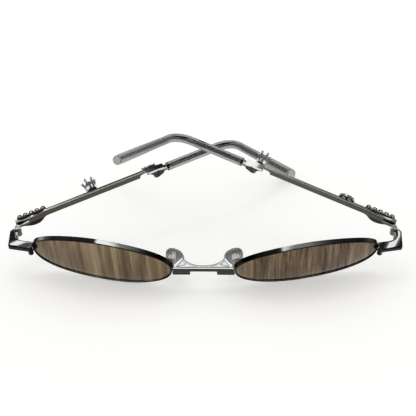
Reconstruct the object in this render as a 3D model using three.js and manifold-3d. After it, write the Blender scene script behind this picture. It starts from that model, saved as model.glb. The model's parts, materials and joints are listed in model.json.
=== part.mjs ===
// Slim oval metal sunglasses, half folded, lying on their rims and one temple tip.
// Millimetres, +Z up, +X to the wearer's left as seen from the front, the front faces -Y.
// Each half of the front is drawn on the +X side, and the other half is its mirror image.
import * as THREE from 'three';
import { mergeVertices } from 'three/addons/utils/BufferGeometryUtils.js';
import Module from 'manifold-3d';

const wasm = await Module();
wasm.setup();

// Front
const noseHalfGap = 11;
const noseTipY = -2.04;
const frontTwistAngle = 2.3;
const faceWrapAngle = 12.5;
const lensDroopAngle = 1.92;
const baseCurveRadius = 150;

// Lens and rim
const lensHalfLength = 25.45;
const lensHalfHeight = 10.35;
const lensCentreZ = 1.5;
const outerTopExponent = 1.66;
const outerLowExponent = 3.03;
const innerTopExponent = 1.98;
const innerLowExponent = 2.47;
const lensThickness = 1.3;
const rimWall = 0.6;
const rimDepth = 2;
const rimChamfer = 0.15;
const grooveDepth = 0.34;
const grooveWidth = 0.8;
const lensClearance = 0.06;
const rimSplit = 0.4;
const seatGap = 0.08;
const cutOverrun = 1;

// Bridge
const bridgeTop = 2.85;
const bridgeHeight = 2.65;
const bridgeDepth = 1.5;
const bridgeFrontY = -1.5;
const bridgeLap = 1.6;
const wingInset = 3.3;
const wingReach = 5.6;
const bridgeBevel = 0.36;
const facetDepth = 0.22;
const footLength = 6.3;
const footDrop = 1.9;
const footDepth = 1.7;
const pierRadius = 1.3;
const pierInset = 1.9;
const pierDrop = 0.5;

// End piece and closing block
const endHeight = 2.4;
const endTop = 1.7;
const endReach = 8.3;
const endLap = 1.1;
const endSetForward = 0.94;
const endArmDepth = 3.5;
const endArmThickness = 1.9;
const endRake = 1.4;
const endCornerRadius = 0.8;
const endFilletRadius = 2.6;
const endChamfer = 1.2;
const endBevel = 0.36;
const closingBarrelRadius = 1.1;
const closingBarrelOut = 0.4;
const closingBarrelForward = 0.8;
const closingBarrelHeight = 1.8;
const closingScrewRadius = 0.5;
const closingScrewHead = 0.4;

// Temple hinge
const pinInset = 2.6;
const pinBehindFront = 8.2;
const pinZ = 0;
const knuckleRadius = 1.25;
const knuckleTop = 1.5;
const knuckleSplitZ = -0.3;
const knuckleBottom = -2.2;
const hingeClearance = 0.06;
const pinRadius = 0.55;
const screwHeadRadius = 1.15;
const screwHeadHeight = 0.5;
const screwSlot = 0.25;
const leafThickness = 0.8;
const leafLength = 4.8;
const leafLift = 0.6;
const frontLeafLength = 3;
const buttGap = 0.3;

// Temple
const barOutset = 0.3;
const barThickness = 1.5;
const barHeight = 2.9;
const barTopZ = 2.75;
const barBevel = 0.3;
const plaqueEnd = 12.4;
const leafDrop = 2.75;
const leafScoop = 0.5;
const neckLength = 2.4;
const neckHeight = 1.1;
const ferruleLength = 8.1;
const ferruleDrop = 2.7;
const ferruleHalfThickness = 1.5;
const ferruleBevel = 0.45;
const collarLength = 1.1;
const collarRadius = 1.15;
const collarSeat = 0.5;
const grooveWide = 0.3;
const wireOut = 1.6;
const wireZ = 0.7;
const wireRadius = 0.62;
const paddleHalfHeight = 1.1;
const paddleHalfThickness = 0.5;
const wireClearance = 0.1;
const sleeveRadius = 1.62;
const sleeveTipRadius = 2.1;
const sleeveStraight = 20.7;
const wireEndMargin = 5.6;
const reachPastMiddle = 13.8;
const bendRadius = 13.8;
const bendAngle = 51;
const tipLength = 40.7;
const leftFoldAngle = 28.7;
const rightFoldAngle = 25.7;
const templeTiltAngle = 1.4;

// Temple ornaments
const plaqueStart = 1.1;
const plaqueThickness = 0.55;
const plaqueRelief = 0.6;
const scallopDepth = 0.3;
const crownPlace = 30.9;
const crownRadius = 2.4;
const crownHeight = 3.9;
const crownZ = 2.3;
const claspPlace = 19.8;
const claspHalfLength = 3.2;
const claspHalfHeight = 1.5;
const claspZ = 2.6;
const claspThickness = 0.9;
const claspCurveShare = 0.55;
const claspWindowRadius = 0.62;
const claspWindowReach = 1.05;
const settingAhead = 2.1;
const settingRadius = 2.2;
const settingHeight = 4.1;
const settingZ = 1.5;
const clusterHalfLength = 3.1;
const clusterAhead = 1.8;
const clusterHalfHeight = 1.2;
const clusterThickness = 0.6;
const clusterBallRadius = 0.62;
const prongRadius = 0.42;
const ballRadius = 0.58;
const cupShare = 0.28;
const prongFootShare = 0.68;
const girdleShare = 0.74;

// Nose pads
const padX = 11.1;
const padY = 4.7;
const padZ = 0;
const padSplayAngle = 20;
const padLeanAngle = 6;
const padHalfHeight = 4.9;
const padHalfWidth = 3.65;
const padHalfThickness = 1.1;
const padDrop = 2.5;
const padExponent = 2.6;
const padBoxWidth = 2.6;
const padBoxHeight = 2.4;
const padBoxDepth = 1.6;
const padSlotWidth = 1.4;
const padLugWidth = 1.2;
const padLugReach = 1.3;
const padPinRadius = 0.34;
const padArmRadius = 0.5;
const padArmInset = 1.5;
const padArmRootZ = -2.2;
const padArmBow = 2.4;

// Counts
const rimStepCount = 58;
const lensRingCount = 3;
const roundSideCount = 18;
const barrelSideCount = 16;
const tubeSideCount = 10;
const wireSideCount = 8;
const prongSideCount = 6;
const crownProngCount = 6;
const bendStepCount = 9;
const tipStepCount = 5;
const padSideCount = 18;
const padRingCount = 10;
const beadCount = 5;
const scallopCount = 4;
const scallopStepCount = 5;
const voluteStepCount = 11;
const armStepCount = 12;

// Colours
const chrome = { color: 0xc9cccd, roughness: 0.12, metalness: 1 };
const lensTint = { color: 0x7a6a58, roughness: 0.08, metalness: 0.6 };
const clearPlastic = { color: 0xd9dcdc, roughness: 0.15, metalness: 0, transparent: true, opacity: 0.45 };
const greyPad = { color: 0xa9aca8, roughness: 0.3, metalness: 0, transparent: true, opacity: 0.6 };
const stoneTeal = { color: 0x7fa39b, roughness: 0.05, metalness: 0 };

// Places worked out from the sizes above
const rad = THREE.MathUtils.degToRad;
const ovalReach = lensHalfLength + rimWall;
const acrossReach = ovalReach * Math.cos(rad(faceWrapAngle)) * Math.cos(rad(lensDroopAngle));
const backReach = ovalReach * Math.sin(rad(faceWrapAngle));
const lensCentreX = noseHalfGap + acrossReach;
const lensCentreY = noseTipY + backReach;
const rimTipX = lensCentreX + acrossReach;
const rimTipY = lensCentreY + backReach;
const frontHalfWidth = rimTipX + endReach;
const endFrontY = rimTipY - endSetForward;
const endInnerX = rimTipX - endLap;
const endBottom = endTop - endHeight;
const closingBarrelX = rimTipX + closingBarrelOut;
const closingBarrelY = rimTipY - closingBarrelForward;
const pinX = frontHalfWidth - pinInset;
const pinY = endFrontY + pinBehindFront;
const barOuter = pinInset + barOutset;
const barInner = barOuter - barThickness;
const bendStart = pinX + reachPastMiddle;
const sleeveStart = bendStart - sleeveStraight;
const ferruleEnd = sleeveStart - buttGap;
const ferruleStart = ferruleEnd - ferruleLength;
const barEnd = ferruleStart - neckLength;
const bendRun = bendRadius * rad(bendAngle);
const tipRun = bendStart + bendRun + tipLength;

// Solids
function toSolid(geometry) {
  const bare = geometry.clone();
  bare.deleteAttribute('normal');
  bare.deleteAttribute('uv');
  const welded = mergeVertices(bare, 1e-4);
  const position = welded.attributes.position;
  return new wasm.Manifold(new wasm.Mesh({
    numProp: 3,
    vertProperties: new Float32Array(position.array),
    triVerts: new Uint32Array(welded.index.array),
  }));
}

function toGeometry(solid) {
  const mesh = solid.getMesh();
  const points = new Float32Array(mesh.numVert * 3);
  for (let i = 0; i < mesh.numVert; i += 1) {
    points.set(mesh.vertProperties.subarray(i * mesh.numProp, i * mesh.numProp + 3), i * 3);
  }
  const geometry = new THREE.BufferGeometry();
  geometry.setAttribute('position', new THREE.BufferAttribute(points, 3));
  geometry.setIndex(Array.from(mesh.triVerts));
  geometry.computeVertexNormals();
  return geometry;
}

function join(...geometries) {
  return toGeometry(geometries.map(toSolid).reduce((sum, next) => sum.add(next)));
}

function cut(geometry, ...tools) {
  return toGeometry(tools.map(toSolid).reduce((left, tool) => left.subtract(tool), toSolid(geometry)));
}

function part(name, geometry, look) {
  const mesh = new THREE.Mesh(geometry, new THREE.MeshStandardMaterial(look));
  mesh.name = name;
  return mesh;
}

// A block between two corners
function block(x0, x1, y0, y1, z0, z1) {
  const geometry = new THREE.BoxGeometry(x1 - x0, y1 - y0, z1 - z0);
  return geometry.translate((x0 + x1) / 2, (y0 + y1) / 2, (z0 + z1) / 2);
}

// An upright round bar from z0 to z1
function post(radius, z0, z1, x = 0, y = 0, topRadius = radius, sides = roundSideCount) {
  const geometry = new THREE.CylinderGeometry(topRadius, radius, z1 - z0, sides);
  return geometry.rotateX(Math.PI / 2).translate(x, y, (z0 + z1) / 2);
}

// A flat outline in the XY plane raised from z0 to z1, with its edges bevelled
function raised(shape, z0, z1, bevel = 0, steps = 4) {
  const geometry = new THREE.ExtrudeGeometry(shape, {
    depth: z1 - z0 - 2 * bevel,
    bevelEnabled: bevel > 0,
    bevelThickness: bevel,
    bevelSize: bevel,
    bevelOffset: -bevel,
    bevelSegments: 1,
    curveSegments: steps,
  });
  return geometry.translate(0, 0, z0 + bevel);
}

// Joins rings of equal length into one closed skin; open runs are capped with the section's own triangles
function skin(rings, closed, section) {
  const count = rings[0].length;
  const points = rings.flat().flatMap((p) => [p.x, p.y, p.z]);
  const faces = [];
  const spans = closed ? rings.length : rings.length - 1;
  for (let i = 0; i < spans; i += 1) {
    const here = i * count;
    const next = ((i + 1) % rings.length) * count;
    for (let j = 0; j < count; j += 1) {
      const k = (j + 1) % count;
      faces.push(here + j, here + k, next + k, here + j, next + k, next + j);
    }
  }
  if (!closed) {
    const last = (rings.length - 1) * count;
    const caps = section
      ? THREE.ShapeUtils.triangulateShape(section, [])
      : Array.from({ length: count - 2 }, (_, i) => [0, i + 1, i + 2]);
    for (const [a, b, c] of caps) faces.push(c, b, a, last + a, last + b, last + c);
  }
  const geometry = new THREE.BufferGeometry();
  geometry.setAttribute('position', new THREE.BufferAttribute(new Float32Array(points), 3));
  geometry.setIndex(faces);
  return facingOut(geometry);
}

function facingOut(geometry) {
  const p = geometry.attributes.position;
  const index = geometry.index.array;
  const [a, b, c] = [new THREE.Vector3(), new THREE.Vector3(), new THREE.Vector3()];
  let volume = 0;
  for (let i = 0; i < index.length; i += 3) {
    a.fromBufferAttribute(p, index[i]);
    b.fromBufferAttribute(p, index[i + 1]);
    c.fromBufferAttribute(p, index[i + 2]);
    volume += a.dot(b.cross(c));
  }
  if (volume < 0) {
    for (let i = 0; i < index.length; i += 3) [index[i], index[i + 1]] = [index[i + 1], index[i]];
  }
  geometry.computeVertexNormals();
  return geometry;
}

// Lens oval
// Each quarter of the oval has its own exponent: pointed towards the outer top, full at the outer bottom
function quarterExponent(c, s) {
  if (c >= 0) return s >= 0 ? outerTopExponent : outerLowExponent;
  return s >= 0 ? innerTopExponent : innerLowExponent;
}

// The oval's point at an angle, pushed outwards by an offset, on the curved lens front and back by a depth
function ovalPoint(angle, offset, depth, spread = 1) {
  const c = Math.cos(angle);
  const s = Math.sin(angle);
  const exponent = quarterExponent(c, s);
  const x = lensHalfLength * Math.sign(c) * Math.abs(c) ** (2 / exponent);
  const z = lensHalfHeight * Math.sign(s) * Math.abs(s) ** (2 / exponent);
  const nx = Math.sign(x) * Math.abs(x / lensHalfLength) ** (exponent - 1) / lensHalfLength;
  const nz = Math.sign(z) * Math.abs(z / lensHalfHeight) ** (exponent - 1) / lensHalfHeight;
  const size = Math.hypot(nx, nz);
  const px = (x + offset * nx / size) * spread;
  const pz = (z + offset * nz / size) * spread;
  return new THREE.Vector3(px, bow(px, pz) + depth, pz);
}

function bow(x, z) {
  return (x * x + z * z - lensHalfLength * lensHalfLength) / (2 * baseCurveRadius);
}

// The angles, above and below the outer end of the oval, where the rim's split starts
const splitShare = rimSplit / 2 / lensHalfHeight;
const splitAbove = Math.asin(splitShare ** (outerTopExponent / 2));
const splitBelow = Math.asin(splitShare ** (outerLowExponent / 2));

function rimAngle(i) {
  return splitAbove + (2 * Math.PI - splitAbove - splitBelow) * i / rimStepCount;
}

function rimGeometry() {
  const middle = rimDepth / 2;
  const section = [
    [0, rimChamfer], [rimChamfer, 0], [rimWall - rimChamfer, 0], [rimWall, rimChamfer],
    [rimWall, rimDepth - rimChamfer], [rimWall - rimChamfer, rimDepth], [rimChamfer, rimDepth],
    [0, rimDepth - rimChamfer], [0, middle + grooveWidth / 2], [grooveDepth, middle],
    [0, middle - grooveWidth / 2],
  ];
  const rings = [];
  for (let i = 0; i <= rimStepCount; i += 1) {
    rings.push(section.map(([offset, depth]) => ovalPoint(rimAngle(i), offset, depth)));
  }
  return skin(rings, false, section.map(([offset, depth]) => new THREE.Vector2(offset, depth)));
}

function lensGeometry() {
  const middle = rimDepth / 2;
  const front = middle - lensThickness / 2;
  const back = middle + lensThickness / 2;
  const apex = grooveDepth - lensClearance;
  const bevel = grooveWidth / 2 - lensClearance;
  const loops = [];
  for (let r = 1; r <= lensRingCount; r += 1) loops.push([-lensClearance, front, r / lensRingCount]);
  loops.push([-lensClearance, middle - bevel, 1], [apex, middle, 1], [-lensClearance, middle + bevel, 1]);
  for (let r = lensRingCount; r >= 1; r -= 1) loops.push([-lensClearance, back, r / lensRingCount]);
  const points = [new THREE.Vector3(0, bow(0, 0) + front, 0)];
  for (const [offset, depth, spread] of loops) {
    for (let i = 0; i < rimStepCount; i += 1) points.push(ovalPoint(rimAngle(i), offset, depth, spread));
  }
  points.push(new THREE.Vector3(0, bow(0, 0) + back, 0));
  const faces = [];
  for (let i = 0; i < rimStepCount; i += 1) {
    const k = (i + 1) % rimStepCount;
    faces.push(0, 1 + i, 1 + k);
    for (let r = 0; r < loops.length - 1; r += 1) {
      const here = 1 + r * rimStepCount;
      const next = here + rimStepCount;
      faces.push(here + i, next + i, next + k, here + i, next + k, here + k);
    }
    const last = 1 + (loops.length - 1) * rimStepCount;
    faces.push(points.length - 1, last + k, last + i);
  }
  const geometry = new THREE.BufferGeometry();
  geometry.setAttribute('position', new THREE.BufferAttribute(
    new Float32Array(points.flatMap((p) => [p.x, p.y, p.z])), 3));
  geometry.setIndex(faces);
  return facingOut(geometry);
}

// The space that a rim fills, with the seat gap round it, for cutting what is soldered to it
function rimSpace() {
  const offset = rimWall + seatGap;
  const deep = rimDepth + cutOverrun + endArmDepth;
  const rings = [-cutOverrun - endArmDepth, deep].map((depth) => Array.from(
    { length: rimStepCount }, (_, i) => ovalPoint(2 * Math.PI * i / rimStepCount, offset, depth)));
  return skin(rings, false);
}

function placeRim(target) {
  target.rotation.set(0, rad(lensDroopAngle), rad(faceWrapAngle), 'ZYX');
  target.position.set(lensCentreX, lensCentreY, lensCentreZ);
  return target;
}

function rimMatrix(side) {
  const half = new THREE.Group();
  half.rotation.x = side * rad(frontTwistAngle);
  half.scale.x = side;
  const rim = placeRim(new THREE.Group());
  half.add(rim);
  half.updateMatrixWorld(true);
  return rim.matrixWorld;
}

// Bridge
const bridgeEndX = noseHalfGap + bridgeLap;
const wingX = noseHalfGap - wingInset;

// Seen from above: a straight front edge, a hollow rear edge and a wing running back at each end
function bridgeOutline() {
  const rear = bridgeFrontY + bridgeDepth;
  const tip = bridgeFrontY + wingReach;
  const hollow = wingX * 0.76;
  const shape = new THREE.Shape();
  shape.moveTo(-bridgeEndX, bridgeFrontY);
  shape.lineTo(bridgeEndX, bridgeFrontY);
  shape.lineTo(bridgeEndX, rear);
  shape.quadraticCurveTo((bridgeEndX + wingX) / 2, rear, wingX, tip);
  shape.quadraticCurveTo(hollow, rear, 0, rear);
  shape.quadraticCurveTo(-hollow, rear, -wingX, tip);
  shape.quadraticCurveTo(-(bridgeEndX + wingX) / 2, rear, -bridgeEndX, rear);
  shape.closePath();
  return shape;
}

// The hollow three-cornered facet on each wing
function wingFacet(side) {
  const rear = bridgeFrontY + bridgeDepth;
  const shape = new THREE.Shape();
  shape.moveTo(side * (wingX - bridgeBevel), bridgeFrontY + wingReach * 0.62);
  shape.lineTo(side * (noseHalfGap - bridgeLap), rear - bridgeDepth * 0.6);
  shape.lineTo(side * (wingX - wingInset / 2), rear);
  shape.closePath();
  return raised(shape, bridgeTop - facetDepth, bridgeTop + cutOverrun);
}

function bridgeGeometry() {
  const bottom = bridgeTop - bridgeHeight;
  const footBottom = bottom - footDrop;
  const pieces = [raised(bridgeOutline(), bottom, bridgeTop, bridgeBevel, 7)];
  for (const side of [-1, 1]) {
    const inner = noseHalfGap - footLength;
    const [from, to] = side < 0 ? [-noseHalfGap, -inner] : [inner, noseHalfGap];
    pieces.push(block(from, to, bridgeFrontY, bridgeFrontY + footDepth, footBottom, bottom + bridgeBevel * 2));
    pieces.push(post(pierRadius * 0.85, footBottom - pierDrop, bottom + bridgeBevel * 2,
      side * (noseHalfGap - pierInset), bridgeFrontY + pierRadius, pierRadius, barrelSideCount));
  }
  return cut(join(...pieces), wingFacet(-1), wingFacet(1), ...[-1, 1].map(
    (side) => facingOut(rimSpace().applyMatrix4(rimMatrix(side)))));
}

// End piece
// Seen from above: the arm off the rim, a square outer corner and the arm that turns back to the hinge
function endPieceOutline() {
  const outer = frontHalfWidth;
  const inner = outer - endArmThickness;
  const rear = pinY - buttGap / 2;
  const front = endFrontY - endRake;
  const armRear = front + endArmDepth;
  const shape = new THREE.Shape();
  shape.moveTo(endInnerX, front);
  shape.lineTo(outer - endCornerRadius, endFrontY);
  shape.quadraticCurveTo(outer, endFrontY, outer, endFrontY + endCornerRadius);
  shape.lineTo(outer, rear - endChamfer);
  shape.lineTo(outer - endChamfer, rear);
  shape.lineTo(inner, rear);
  shape.lineTo(inner, armRear + endFilletRadius + endRake / 2);
  shape.quadraticCurveTo(inner, armRear + endRake, inner - endFilletRadius, armRear + endRake / 2);
  shape.lineTo(endInnerX, armRear);
  shape.closePath();
  return shape;
}

function endPieceGeometry() {
  const body = raised(endPieceOutline(), endBottom, endTop, endBevel, 6);
  const room = knuckleRadius + buttGap / 2;
  const pocket = post(room, endBottom - cutOverrun, endTop + cutOverrun, pinX, pinY);
  const bore = post(closingScrewRadius + hingeClearance, endBottom - cutOverrun, endBottom + endHeight / 2,
    closingBarrelX, closingBarrelY);
  return cut(body, pocket, bore, rimSpaceInHalf());
}

function rimSpaceInHalf() {
  const rim = placeRim(new THREE.Group());
  rim.updateMatrix();
  return rimSpace().applyMatrix4(rim.matrix);
}

function closingBlockGeometry() {
  const top = endBottom - seatGap;
  const barrel = post(closingBarrelRadius, top - closingBarrelHeight, top, closingBarrelX, closingBarrelY);
  const web = block(closingBarrelX - closingBarrelRadius * 2, closingBarrelX, closingBarrelY - rimWall,
    closingBarrelY + closingBarrelRadius, top - closingBarrelHeight, top);
  const bore = post(closingScrewRadius + hingeClearance, top - closingBarrelHeight - cutOverrun,
    top + cutOverrun, closingBarrelX, closingBarrelY);
  return cut(join(barrel, web), bore, rimSpaceInHalf());
}

function slottedScrew(shaftRadius, headRadius, headHeight, length) {
  const shaft = post(shaftRadius, -length, headHeight / 2, 0, 0, shaftRadius, roundSideCount);
  const head = post(headRadius, 0, headHeight, 0, 0, headRadius * 0.86);
  const slot = block(-headRadius - cutOverrun, headRadius + cutOverrun, -screwSlot / 2, screwSlot / 2,
    headHeight / 2, headHeight + cutOverrun);
  return cut(join(shaft, head), slot);
}

// Temple hinge
function frontLeafGeometry() {
  const plateOuter = frontHalfWidth - endArmThickness - seatGap;
  const plateRear = pinY - knuckleRadius - buttGap;
  const plate = block(plateOuter - leafThickness, plateOuter, pinY - frontLeafLength, plateRear,
    knuckleBottom, endTop - endHeight / 4);
  const foot = block(plateOuter - leafThickness, plateOuter, pinY - frontLeafLength, pinY,
    knuckleBottom, knuckleSplitZ - hingeClearance);
  const knuckle = post(knuckleRadius, knuckleBottom, knuckleSplitZ - hingeClearance, pinX, pinY);
  const bore = post(pinRadius + hingeClearance, knuckleBottom - cutOverrun, knuckleTop, pinX, pinY);
  return cut(join(plate, foot, knuckle), bore);
}

// In the temple's own axes: x outwards, y along the temple, z up, with the pin at the origin
function templeLeafGeometry() {
  const knuckle = post(knuckleRadius, knuckleSplitZ, knuckleTop);
  const plateOuter = barInner - seatGap;
  const plate = block(plateOuter - leafThickness, plateOuter, 0, leafLength, knuckleSplitZ + leafLift, knuckleTop);
  const bore = post(pinRadius + hingeClearance, knuckleSplitZ - cutOverrun, knuckleTop + cutOverrun);
  return cut(join(knuckle, plate), bore);
}

// Temple bar
// Seen from the side: a leaf that drops below the bar at the hinge, the flat bar, a step and a neck
function barOutline() {
  const bottom = barTopZ - barHeight;
  const start = buttGap / 2;
  const end = ferruleStart - seatGap;
  const shape = new THREE.Shape();
  shape.moveTo(start, barTopZ);
  shape.lineTo(start, bottom - leafDrop * 0.12);
  shape.bezierCurveTo(plaqueEnd * 0.25, bottom - leafDrop * 0.2, plaqueEnd * 0.38, bottom - leafDrop,
    plaqueEnd * 0.62, bottom - leafDrop);
  shape.bezierCurveTo(plaqueEnd * 0.85, bottom - leafDrop, plaqueEnd * 0.85, bottom, plaqueEnd, bottom);
  shape.lineTo(barEnd, bottom);
  shape.lineTo(barEnd, barTopZ - neckHeight * 1.5);
  shape.quadraticCurveTo(barEnd + neckLength * 0.2, barTopZ - neckHeight, end, barTopZ - neckHeight);
  shape.lineTo(end, barTopZ);
  shape.lineTo(plaqueEnd, barTopZ);
  shape.bezierCurveTo(plaqueEnd * 0.75, barTopZ, plaqueEnd * 0.7, barTopZ - leafScoop,
    plaqueEnd * 0.5, barTopZ - leafScoop);
  shape.quadraticCurveTo(plaqueEnd * 0.3, barTopZ - leafScoop, plaqueEnd * 0.15, barTopZ);
  shape.closePath();
  return shape;
}

// Turns a solid drawn along X and Y and raised along Z so that it runs along Y and up Z, facing outwards
function sideOn(geometry, outwards) {
  const turn = new THREE.Matrix4().set(0, 0, 1, 0, 1, 0, 0, 0, 0, 1, 0, 0, 0, 0, 0, 1);
  return geometry.applyMatrix4(turn).translate(outwards, 0, 0);
}

function barGeometry() {
  return sideOn(raised(barOutline(), 0, barThickness, barBevel, 8), barInner);
}

// Ferrule, seen from the side: a flat top, a pointed drop below, an upright groove and a round collar
function ferruleOutline() {
  const top = barTopZ;
  const low = wireZ - ferruleDrop;
  const neckLow = barTopZ - neckHeight;
  const long = ferruleLength - collarLength;
  const shape = new THREE.Shape();
  shape.moveTo(ferruleStart, top - ferruleBevel / 3);
  shape.lineTo(ferruleStart, neckLow);
  shape.quadraticCurveTo(ferruleStart + long * 0.32, neckLow - neckHeight / 4, ferruleStart + long * 0.42, low * 0.8);
  shape.lineTo(ferruleStart + long * 0.52, low);
  shape.lineTo(ferruleStart + long * 0.64, low * 0.95);
  shape.lineTo(ferruleStart + long, wireZ - collarRadius);
  shape.lineTo(ferruleStart + long, wireZ + collarRadius + collarSeat);
  shape.lineTo(ferruleStart + long * 0.6, top);
  shape.closePath();
  return shape;
}

function ferruleGeometry() {
  const wide = 2 * ferruleHalfThickness;
  const body = sideOn(raised(ferruleOutline(), 0, wide, ferruleBevel, 3), wireOut - ferruleHalfThickness);
  const collar = new THREE.CylinderGeometry(collarRadius, collarRadius, collarLength * 2, barrelSideCount);
  collar.translate(wireOut, ferruleEnd - collarLength, wireZ);
  const grooveY = ferruleStart + ferruleLength * 0.5;
  const grooves = [-1, 1].map((side) => {
    const inner = wireOut + side * (ferruleHalfThickness - grooveWide);
    const outer = wireOut + side * (ferruleHalfThickness + cutOverrun);
    return block(Math.min(inner, outer), Math.max(inner, outer), grooveY, grooveY + grooveWide,
      wireZ - 2 * ferruleDrop, wireZ + 2 * ferruleDrop);
  });
  return cut(join(body, collar), ...grooves);
}

// Temple tip
// Point and direction on the tip's centre line, in the upright plane of the temple
function tipPath(run) {
  if (run <= bendStart) return { y: run, z: wireZ, angle: 0 };
  const bent = Math.min(run - bendStart, bendRun) / bendRadius;
  const beyond = Math.max(0, run - bendStart - bendRun);
  return {
    y: bendStart + bendRadius * Math.sin(bent) + beyond * Math.cos(bent),
    z: wireZ - bendRadius * (1 - Math.cos(bent)) - beyond * Math.sin(bent),
    angle: bent,
  };
}

function runsBetween(start, end) {
  const arcEnd = bendStart + bendRun;
  const runs = [start];
  for (let i = 0; i <= bendStepCount; i += 1) runs.push(bendStart + (arcEnd - bendStart) * i / bendStepCount);
  for (let i = 1; i <= tipStepCount; i += 1) runs.push(arcEnd + (end - arcEnd) * i / tipStepCount);
  return runs;
}

function tubeRing(run, across, upright, sides) {
  const { y, z, angle } = tipPath(run);
  return Array.from({ length: sides }, (_, i) => {
    const turn = 2 * Math.PI * i / sides;
    const up = upright * Math.sin(turn);
    return new THREE.Vector3(wireOut + across * Math.cos(turn), y + up * Math.sin(angle), z + up * Math.cos(angle));
  });
}

// The wire is round in the straight part and flattened to a paddle behind the ear
function wireRing(run, grow, sides) {
  const share = THREE.MathUtils.clamp((run - bendStart) / bendRun, 0, 1);
  return tubeRing(run, THREE.MathUtils.lerp(wireRadius, paddleHalfThickness, share) + grow,
    THREE.MathUtils.lerp(wireRadius, paddleHalfHeight, share) + grow, sides);
}

function wireGeometry() {
  const end = tipRun - wireEndMargin;
  const rings = runsBetween(ferruleEnd + seatGap, end).map((run) => wireRing(run, 0, wireSideCount));
  rings.push(wireRing(end + wireRadius / 2, -paddleHalfThickness / 2, wireSideCount));
  return skin(rings, false);
}

// The clear sleeve: out along its outside to the rounded tip, and back up its blind bore
function sleeveGeometry() {
  const boreEnd = tipRun - wireEndMargin + wireRadius + wireClearance;
  const arcEnd = bendStart + bendRun;
  const domeStart = tipRun - sleeveTipRadius;
  const radiusAt = (run) => THREE.MathUtils.lerp(sleeveRadius, sleeveTipRadius,
    THREE.MathUtils.clamp((run - arcEnd) / (domeStart - arcEnd), 0, 1));
  const rings = runsBetween(sleeveStart, domeStart).map(
    (run) => tubeRing(run, radiusAt(run), radiusAt(run), tubeSideCount));
  for (const turn of [30, 55, 75]) {
    const radius = sleeveTipRadius * Math.cos(rad(turn));
    rings.push(tubeRing(domeStart + sleeveTipRadius * Math.sin(rad(turn)), radius, radius, tubeSideCount));
  }
  const inside = runsBetween(sleeveStart - cutOverrun, boreEnd).map(
    (run) => wireRing(run, wireClearance, tubeSideCount));
  return cut(skin(rings, false), skin(inside, false));
}

// Ornaments
// The plaque's scalloped outline: level at the top, dropping with the leaf of the bar below
function plaqueOutline() {
  const bottom = barTopZ - barHeight - leafDrop;
  const level = barTopZ - barHeight * 0.75;
  const steps = scallopStepCount * scallopCount;
  const wave = (share) => scallopDepth * Math.abs(Math.sin(Math.PI * scallopCount * share));
  const shape = new THREE.Shape();
  shape.moveTo(plaqueStart, barTopZ - scallopDepth);
  for (let i = 1; i <= steps; i += 1) {
    const share = i / steps;
    shape.lineTo(plaqueStart + (plaqueEnd - plaqueStart) * share, barTopZ - scallopDepth + wave(share));
  }
  for (let i = steps; i >= 0; i -= 1) {
    const share = i / steps;
    const belly = Math.max(0, Math.sin(Math.PI * Math.min(1, share * 1.1 + 0.08))) ** 0.7;
    shape.lineTo(plaqueStart + (plaqueEnd - plaqueStart) * share,
      level + (bottom - level) * belly - wave(share) * 0.6);
  }
  return shape;
}

function scrollPlaqueGeometry() {
  const bottom = barTopZ - barHeight - leafDrop;
  const high = barTopZ - bottom;
  const long = plaqueEnd - plaqueStart;
  const plate = raised(plaqueOutline(), 0, plaqueThickness);
  const placeShares = [[0.2, 0.5, 0.3], [0.5, 0.52, 0.24], [0.74, 0.68, 0.17], [0.9, 0.78, 0.1]];
  const scrolls = placeShares.map(([along, up, size], i) => volute(
    plaqueStart + long * along, bottom + high * up, high * size, i % 2 ? -1 : 1));
  return sideOn(join(plate, ...scrolls), barOuter + seatGap);
}

// A spiral ridge standing on the plaque
function volute(x, y, size, turn) {
  const turns = 1.4;
  const rings = [];
  for (let i = 0; i <= voluteStepCount; i += 1) {
    const share = i / voluteStepCount;
    const angle = turn * 2 * Math.PI * turns * share;
    const radius = size * (1 - 0.75 * share);
    const half = size * 0.2 * (1 - 0.4 * share);
    const out = new THREE.Vector2(Math.cos(angle), Math.sin(angle));
    const low = plaqueThickness * 0.5;
    const high = plaqueThickness + plaqueRelief * (0.6 + 0.4 * share);
    rings.push([[-1, low], [1, low], [0.5, high], [-0.5, high]].map(([s, z]) => new THREE.Vector3(
      x + out.x * (radius + s * half), y + out.y * (radius + s * half), z)));
  }
  return skin(rings, false);
}

// A claw setting that stands out from the bar: a cup, leaning prongs and a ball on each
function clawGeometry(radius, height) {
  const floor = height * cupShare;
  const low = floor / 2;
  const foot = radius * prongFootShare;
  const lean = radius - foot;
  const pieces = [post(radius * 0.75, 0, floor, 0, 0, radius * 0.95, barrelSideCount)];
  for (let i = 0; i < crownProngCount; i += 1) {
    const angle = 2 * Math.PI * (i + 0.5) / crownProngCount;
    const prong = new THREE.CylinderGeometry(prongRadius, prongRadius, height - low, prongSideCount);
    prong.rotateX(Math.PI / 2).translate(0, 0, (height - low) / 2);
    prong.rotateY(Math.atan2(lean, height)).translate(foot, 0, low).rotateZ(angle);
    const ball = new THREE.SphereGeometry(ballRadius, prongSideCount + 2, prongSideCount);
    ball.translate(radius, 0, height).rotateZ(angle);
    pieces.push(prong, ball);
  }
  return join(...pieces);
}

// A low cluster: an oval plate with a row of beads
function clusterGeometry() {
  const shape = new THREE.Shape().absellipse(0, 0, clusterHalfLength, clusterHalfHeight, 0, 2 * Math.PI);
  const plate = raised(shape, 0, clusterThickness, 0, 6);
  const reach = clusterHalfLength - clusterBallRadius;
  const beads = Array.from({ length: beadCount }, (_, i) => new THREE.SphereGeometry(
    clusterBallRadius, prongSideCount + 2, prongSideCount).translate(
    reach * (2 * i / (beadCount - 1) - 1), 0, clusterThickness + clusterBallRadius / 3));
  return sideOn(join(plate, ...beads).translate(ferruleStart + clusterAhead, settingZ, 0),
    wireOut + ferruleHalfThickness + seatGap);
}

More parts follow.
